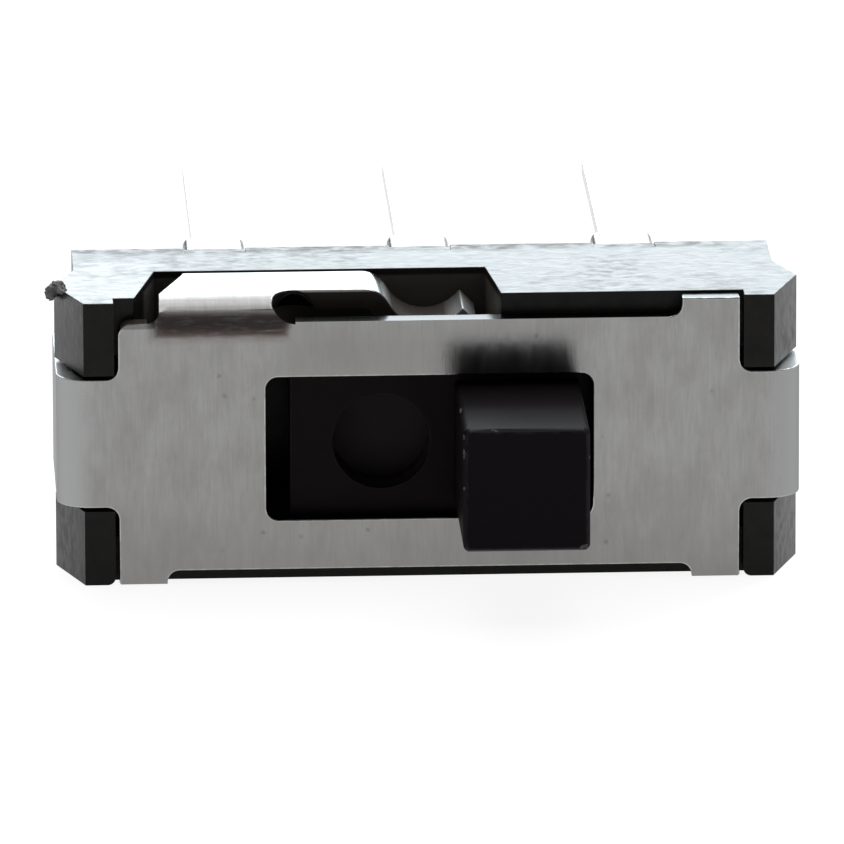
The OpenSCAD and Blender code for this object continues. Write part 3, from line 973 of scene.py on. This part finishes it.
# %% [markdown]
# ## Steel: colour
#
# The rolls leave fine upright lines and broader bands, and the plating adds clouds and a few pits. One
# colour would look like paint, so two greys follow the lines and the rest is laid over them in thin
# coats. The end tabs are a little lighter, most of all at the left. Three of the coats are painted
# light and shade: the plate darkens towards the bottom, a painted shade for the shaded floor it mirrors
# there; the bevelled corners are lighter, a painted highlight; and a few places are painted nearly
# black, a painted shade.

# %% Colour of the steel
STAIN, STAIN_RIM = (0.105, 0.078, 0.07, 1), (0.19, 0.14, 0.12, 1)
# a painted shade, nearly black, for the dark hollows that the ledges and the spring's valley mirror
PAINTED_SHADE_BLACK = (0.022, 0.016, 0.013, 1)


def steel_colour(tree, place, masks, lines, broad, clouds, brushed):
    """Rolled grey with bands, clouds, pits and stains, a painted highlight on corners and painted shade.
    """
    spots = use(tree, specks, Place=place, Spacing=0.42, Size=0.04, Share=0.4)
    corners = use(tree, wear_and_highlight, Place=place, Wear=0.7)
    along, _, height = node(tree, "SeparateXYZ", {0: place}).outputs
    stain_rim = multiply(tree, masks["stain rim"], remap(tree, brushed, 0.3, 0.6))
    stained = multiply(tree, masks["stained"], remap(tree, brushed, 0.2, 0.5))
    tabs = blend(tree, remap(tree, along, 0, -1 * MM), grey(0.31), grey(0.36))
    rolled = blend(tree, remap(tree, lines, 0.3, 0.7), grey(0.228, 0.012), grey(0.262, 0.016))
    return paint(tree, rolled,
                 (remap(tree, broad, 0.4, 0.7), 0.4, grey(0.31, 0.01)),
                 (remap(tree, clouds, 0.40, 0.68), 0.45, grey(0.18, 0.03)),
                 # painted shade: darker towards the bottom, for the shaded floor that the plate mirrors
                 # there
                 (remap(tree, height, -0.4 * MM, -1.4 * MM), 0.45, grey(0.20, 0.03)),
                 (masks["above window"], 0.6, grey(0.19, 0.02)),
                 (spots, 0.6, grey(0.10, 0.05)),
                 (stain_rim, 0.4, STAIN_RIM),
                 (stained, 0.85, STAIN),
                 (masks["ends"], 1.0, tabs),
                 (masks["cut"], 1.0, grey(0.08)),
                 # painted highlight: the bevelled corners lighter, broken up in patches
                 (corners, 0.8, grey(0.48)),
                 # painted shade: nearly black on the ledges, the slot edge and the valley of the spring
                 (masks["dull"], 1.0, PAINTED_SHADE_BLACK))


print("stain colour", STAIN[:3], "painted shade black", PAINTED_SHADE_BLACK[:3])

# %% [markdown]
# ## Steel: the whole finish
#
# Colour alone doesn't make metal: most of what steel shows is what it mirrors. So Metallic is 1,
# except where shade is painted nearly black. Seen at a low angle any metal turns into a mirror, however
# dark it is. The Specular Tint holds that down, or the cut edges would shine as bright as the top.
# Roughness is low on the flat and higher where the sheet was bent.

# %% Steel
def steel():
    """Plated steel sheet, with the fine upright lines of the rolls it came from."""
    made, tree, shader, place = new_material("cover_steel", specular=0.0)
    shader["Specular Tint"].default_value = grey(0.6)
    lines = use(tree, grain, Place=place, Size=(0.025, 0.6, 0.35), Detail=4.0)
    broad = use(tree, grain, Place=place, Size=(0.10, 1.0, 0.45), Detail=5.0)
    clouds = use(tree, grain, Place=place, Size=(0.35, 0.5, 0.5), Detail=6.0)
    brushed = use(tree, grain, Place=place, Size=(0.25, 0.04, 0.04), Detail=3.0)
    masks = cover_masks(tree, place)
    colour = steel_colour(tree, place, masks, lines, broad, clouds, brushed)
    tree.links.new(colour, shader["Base Color"])
    # no metal where the shade is painted, so that it stays nearly black
    tree.links.new(calculate(tree, "SUBTRACT", 1.0, masks["dull"]), shader["Metallic"])
    rough = vary(tree, remap(tree, broad, 0.3, 0.7, 0.12, 0.18),
                 (masks["rolled"], 0.4),
                 (masks["sprung"], 0.5),
                 (masks["ends"], 0.4),
                 (masks["cut"], 0.2))
    tree.links.new(rough, shader["Roughness"])
    rubbed = multiply(tree, brushed, masks["rolled"])
    bump(tree, shader, (lines, 0.0004), (clouds, 0.0015), (rubbed, 0.0015))
    return made


finish_of = {"cover_steel": steel()}

# %% [markdown]
# ## Housing plastic
#
# The housing is a filled black plastic. It streaks where it flowed into the mould. Its outside is
# scuffed in patches, most of all along the rear edge of the top, and it is smoother on the left ear,
# where the switch was handled. Behind the cover, in the notch and the window and through the slot,
# it lies in shade and is painted lighter: painted light for the light that doesn't reach it. One dark
# colour would look like a hole, so the streaks carry two blacks. Roughness does the rest: it spreads
# the light from behind into a pale sheen on the top. The bosses round the legs are smoother than the
# rest, and are painted a little lighter as well, a painted sheen.

# %% Places on the housing
HOUSING_PLACES = {
    # painted light: the housing behind the cover and seen through the slot lies in shade
    "painted_light_behind_cover": ((-3.40, -2.52, -1.0), (0.85, -0.8, 1.66), 0.03),
    "painted_light_in_slot": ((-1.95, -2.5, 1.0), (-1.4, -1.7, 1.7), 0.05),
    "bosses": ((-3.4, 0.02, 1.5), (3.4, 0.7, 1.9), 0.02),
    "rear": ((-4.3, -0.16, 1.6), (3.6, 0.0, 1.9), 0.2),
    "handled": ((-4.4, -2.5, 1.7), (-3.5, -0.9, 1.9), 0.5),
}
print("%d places on the housing" % len(HOUSING_PLACES))


# %% Housing plastic
def housing_colour(tree, place, masks, flow):
    """Streaky blacks, greyer at corners and where torn, painted light in shade and on the bosses."""
    corners = use(tree, wear_and_highlight, Place=place, Wear=0.5)
    streaks = blend(tree, remap(tree, flow, 0.3, 0.7), grey(0.006, 0.1), grey(0.011, 0.14))
    return paint(tree, streaks,
                 (corners, 0.5, grey(0.03, 0.05)),
                 # painted light: lighter behind the cover and through the slot, where shade falls
                 (masks["painted_light_behind_cover"], 1.0, grey(0.08, 0.12)),
                 (masks["painted_light_in_slot"], 1.0, grey(0.25, 0.12)),
                 (masks["rear"], 0.8, grey(0.018, 0.2)),
                 # painted sheen: the bosses a little lighter, for the pale light they catch from behind
                 (masks["bosses"], 1.0, grey(0.02, 0.02)),
                 (masks["torn"], 1.0, grey(0.14, 0.02)))


def housing_plastic():
    """Black filled plastic, pebbled by its mould and streaked where it flowed."""
    made, tree, shader, place = new_material("housing_plastic", specular=0.12)
    flow = use(tree, grain, Place=place, Size=(0.2, 0.14, 0.2), Detail=4.0)
    fine = use(tree, grain, Place=place, Size=(0.05, 0.05, 0.05), Detail=3.0)
    scuffs = use(tree, grain, Place=place, Size=(0.17, 0.1, 0.17), Detail=4.0)
    patches = use(tree, grain, Place=place, Size=(1.3, 1.3, 1.3), Detail=2.0)
    masks = box_masks(tree, place, HOUSING_PLACES)
    masks["rear"] = multiply(tree, masks["rear"], remap(tree, flow, 0.4, 0.6))
    masks["torn"] = attribute(tree, "torn")
    tree.links.new(housing_colour(tree, place, masks, flow), shader["Base Color"])
    scuffed = remap(tree, scuffs, 0.42, 0.68)
    scuffed = multiply(tree, scuffed, remap(tree, patches, 0.42, 0.56, 0.35, 1.0))
    rough = remap(tree, scuffed, 0, 1, 0.315, 0.45)
    rough = calculate(tree, "ADD", rough, multiply(tree, masks["rear"], 0.16))
    rough = calculate(tree, "ADD", rough, multiply(tree, masks["handled"], -0.06))
    rough = vary(tree, rough, (masks["bosses"], 0.18), (masks["torn"], 0.7))
    tree.links.new(rough, shader["Roughness"])
    bump(tree, shader, (flow, 0.005), (fine, 0.0012))
    return made


finish_of["housing_plastic"] = housing_plastic()

# %% [markdown]
# ## Slider plastic
#
# The slider has to glide, so it is another plastic: smoother, blacker and with a trace of purple. Its
# front and the knob keep their plain black. Behind the plane of the cover, which shades it, it is
# painted lighter, and lighter still in the deep recesses: painted light for the light the cover keeps
# off. That could be a gradient in depth, but two masks follow the two levels of the moulding more
# exactly.

# %% Slider plastic
SLIDER_PLACES = {
    "behind the cover": ((-4, -2.4, -1.5), (4, 0, 1.5), 0.03),
    "deep": ((-4, -2.25, -1.5), (4, 0, 1.5), 0.03),
}
DEEP_BLACK, SOFT_BLACK = (0.0080, 0.0062, 0.0074, 1), (0.0086, 0.0068, 0.0080, 1)
# painted light: two lighter blacks for the slider where the cover shades it
PAINTED_FILL, PAINTED_FILL_DEEP = (0.014, 0.0105, 0.0112, 1), (0.034, 0.026, 0.028, 1)
RUBBED, TORN = (0.03, 0.03, 0.034, 1), (0.09, 0.085, 0.085, 1)


def slider_plastic():
    """A smoother, blacker plastic, a little polished at its corners."""
    made, tree, shader, place = new_material("slider_plastic", specular=0.028)
    fine = use(tree, grain, Place=place, Size=(0.05, 0.05, 0.05), Detail=3.0)
    wide = use(tree, grain, Place=place, Size=(0.35, 0.35, 0.35), Detail=3.0)
    corners = use(tree, wear_and_highlight, Place=place, Wear=0.6)
    masks = box_masks(tree, place, SLIDER_PLACES)
    black = blend(tree, remap(tree, wide, 0.3, 0.7), DEEP_BLACK, SOFT_BLACK)
    colour = paint(tree, black,
                   # painted light: lighter behind the cover and in the deep recesses, where shade falls
                   (masks["behind the cover"], 1.0, PAINTED_FILL),
                   (masks["deep"], 1.0, PAINTED_FILL_DEEP),
                   (corners, 0.5, RUBBED),
                   (attribute(tree, "torn"), 1.0, TORN))
    tree.links.new(colour, shader["Base Color"])
    rough = calculate(tree, "ADD", remap(tree, wide, 0.3, 0.7, 0.46, 0.50),
                      remap(tree, fine, 0.3, 0.7, -0.012, 0.012))
    tree.links.new(rough, shader["Roughness"])
    bump(tree, shader, (fine, 0.0003), (wide, 0.0004))
    return made


finish_of["slider_plastic"] = slider_plastic()

# %% [markdown]
# ## Tin on the legs
#
# The legs are dipped in tin, so that solder takes to them. Dipped tin is bright and slightly wavy,
# with fine streaks along the leg where it ran off. The waves could be modelled, but they are a few
# thousandths of a millimetre high, so they are a bump.

# %% Terminal tin
def terminal_tin():
    """Dipped tin: bright, a little wavy, and streaked along the leg."""
    made, tree, shader, place = new_material("terminal_tin", metallic=1.0)
    waves = use(tree, grain, Place=place, Size=(0.3, 0.5, 0.3), Detail=2.0)
    fine = use(tree, grain, Place=place, Size=(0.03, 0.2, 0.03), Detail=3.0)
    colour = blend(tree, remap(tree, waves, 0.35, 0.65), grey(0.50), grey(0.60, 0.01))
    tree.links.new(colour, shader["Base Color"])
    tree.links.new(remap(tree, fine, 0.3, 0.7, 0.22, 0.34), shader["Roughness"])
    bump(tree, shader, (waves, 0.003), (fine, 0.0003))
    return made


finish_of["terminal_tin"] = terminal_tin()

# %% [markdown]
# ## Bronze of the moving contact
#
# The strip that joins two legs inside the switch is spring bronze. It can't be seen while the switch
# is closed, and could have shared the tin of the legs. But it is a piece that can be taken out, so it
# gets its own warm metal, with the lines of its strip.

# %% Contact bronze
DARK_BRONZE, LIGHT_BRONZE = (0.42, 0.24, 0.10, 1), (0.58, 0.36, 0.17, 1)


def contact_bronze():
    """Spring bronze with the lines of its strip."""
    made, tree, shader, place = new_material("contact_bronze", metallic=1.0)
    lines = use(tree, grain, Place=place, Size=(0.6, 0.05, 0.03), Detail=3.0)
    colour = blend(tree, remap(tree, lines, 0.3, 0.7), DARK_BRONZE, LIGHT_BRONZE)
    tree.links.new(colour, shader["Base Color"])
    tree.links.new(remap(tree, lines, 0.3, 0.7, 0.25, 0.4), shader["Roughness"])
    bump(tree, shader, (lines, 0.0005))
    return made


finish_of["contact_bronze"] = contact_bronze()

# %% [markdown]
# ## Dressing the pieces
#
# Each finished piece now takes the place of its solid. The frame says which finish a solid has and
# which body it moves with. Both could be listed here too, but two lists can disagree. The slider and
# its contact ride on the body that slides, and all the rest stays with the switch, the flake too.

# %% Dress the pieces
body_of = {name: solid["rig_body"] for name, solid in frame["nodes"].items()}
slot_of = {row["node"]: row["material_slot"] for row in frame["record"]["subparts"]}
for name, piece in finished.items():
    piece.data.materials.append(finish_of[slot_of[name]])
    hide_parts(name)
    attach(piece, body_of[name])
    print("%s: %s, on %s" % (piece.name, slot_of[name], body_of[name]))
flake.data.materials.append(finish_of["housing_plastic"])
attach(flake, body_of["housing"])
